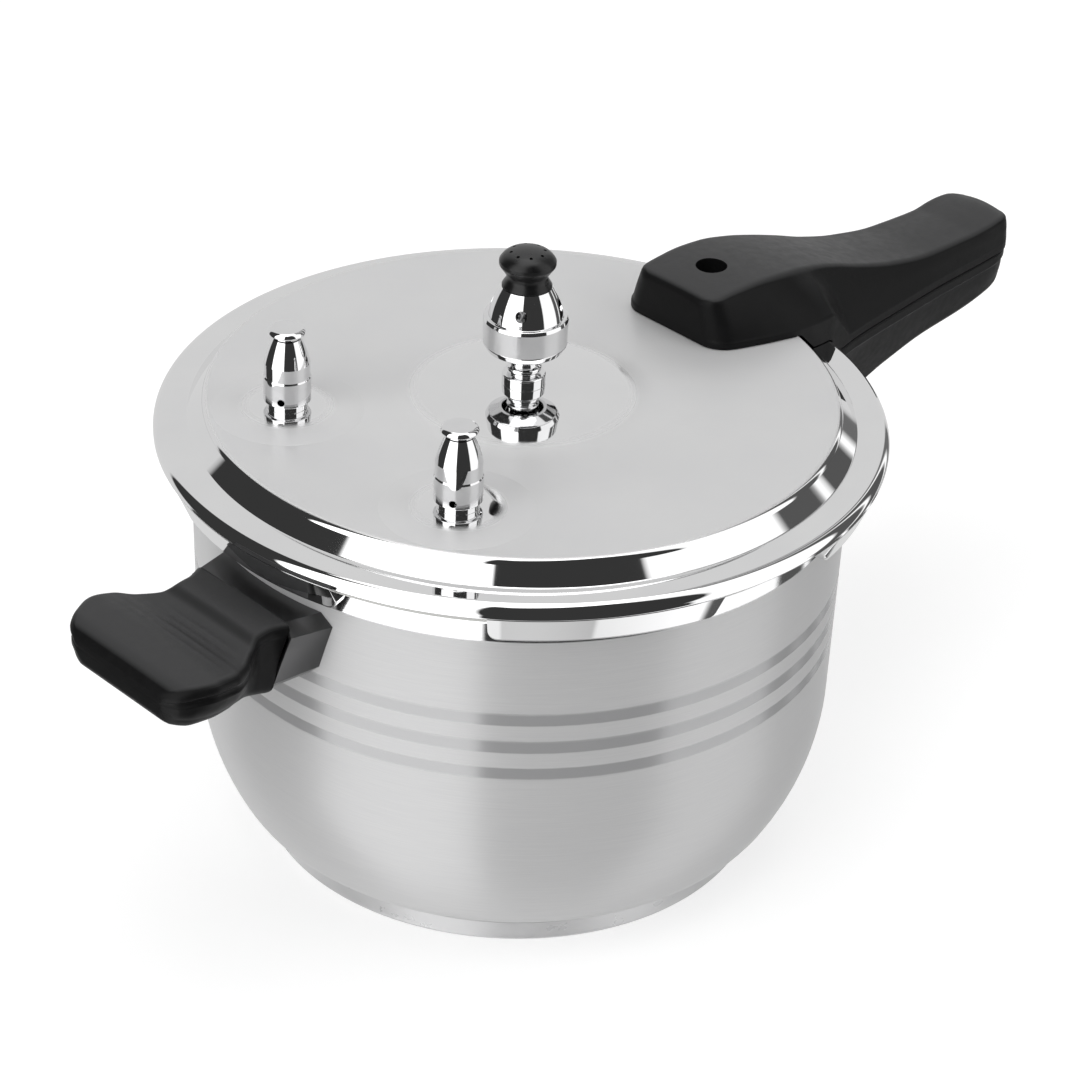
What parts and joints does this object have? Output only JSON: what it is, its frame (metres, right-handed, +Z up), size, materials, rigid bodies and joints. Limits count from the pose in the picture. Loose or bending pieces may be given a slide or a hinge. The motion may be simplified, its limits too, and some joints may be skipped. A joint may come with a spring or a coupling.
{
  "type": "stovetop pressure cooker",
  "caption": "Stainless steel stovetop pressure cooker with a twist-lock lid, long double handle, helper handle, regulator weight and spring safety valves.",
  "frame": {"origin": "centre of the base on the surface the cooker stands on", "axes": "+Z up along the pot's axis, +X along the long handles away from the pot, helper handle at -X, +Y by the right-hand rule"},
  "size_m": [0.407, 0.245, 0.215],
  "materials": {
    "satin_steel": "satin, with polished bands and a mirror collar",
    "polished_steel": "mirror polished stainless steel",
    "guard_steel": "dull pressed sheet",
    "plain_steel": "plain stainless steel",
    "chrome": "bright chrome plate",
    "black_handle": "moulded heat-proof plastic, satin",
    "black_cap": "moulded heat-proof plastic, semi-gloss",
    "silicone": "matt silicone",
    "aluminium": "as rolled"
  },
  "bodies": {
    "pot": {"pot_shell": "satin_steel", "base_core": "aluminium", "base_cap": "polished_steel", "pot_handle_bracket": "plain_steel", "pot_handle": "black_handle", "pot_handle_screw": "plain_steel", "helper_bracket": "plain_steel", "helper_flame_guard": "guard_steel", "helper_handle": "black_handle", "helper_screw": "plain_steel"},
    "seal": {"sealing_ring": "silicone"},
    "lid": {"lid_shell": "polished_steel", "lid_handle_bracket": "plain_steel", "lid_handle": "black_handle", "lid_handle_screws": "plain_steel", "vent_pipe": "chrome", "vent_gasket": "silicone", "vent_nut": "plain_steel", "anti_block_screen": "plain_steel", "float_bush": "plain_steel", "float_gasket": "silicone", "float_nut": "plain_steel", "safety_valve_a_seat": "chrome", "safety_valve_a_housing": "chrome", "safety_valve_a_gasket": "silicone", "safety_valve_a_nut": "plain_steel", "safety_valve_a_spring": "plain_steel", "safety_valve_b_seat": "chrome", "safety_valve_b_housing": "chrome", "safety_valve_b_gasket": "silicone", "safety_valve_b_nut": "plain_steel", "safety_valve_b_spring": "plain_steel"},
    "float": {"float_pin": "plain_steel", "float_clip": "plain_steel"},
    "valve_stem_a": {"safety_valve_a_stem": "chrome"},
    "valve_stem_b": {"safety_valve_b_stem": "chrome"},
    "weight": {"weight_bell": "chrome", "weight_cap": "black_cap", "weight_needle": "plain_steel"}
  },
  "joints": [
    {"name": "lid_lift", "type": "slide", "parent": "pot", "child": "seal", "axis": [0, 0, 1], "range_m": [0, 0.12]},
    {"name": "lid_twist", "type": "hinge", "parent": "seal", "child": "lid", "pos_m": [0, 0, 0.15], "axis": [0, 0, 1], "range_deg": [0, 30]},
    {"name": "weight_lift", "type": "slide", "parent": "lid", "child": "weight", "axis": [0, 0, 1], "range_m": [0, 0.03]},
    {"name": "float_rise", "type": "slide", "parent": "lid", "child": "float", "axis": [0, 0, 1], "range_m": [0, 0.005]},
    {"name": "valve_a_lift", "type": "slide", "parent": "lid", "child": "valve_stem_a", "axis": [0, 0, 1], "range_m": [0, 0.0025], "stiffness_N_per_m": 900, "springref_m": -0.004, "deforming": ["safety_valve_a_spring"]},
    {"name": "valve_b_lift", "type": "slide", "parent": "lid", "child": "valve_stem_b", "axis": [0, 0, 1], "range_m": [0, 0.0025], "stiffness_N_per_m": 900, "springref_m": -0.004, "deforming": ["safety_valve_b_spring"]}
  ]
}
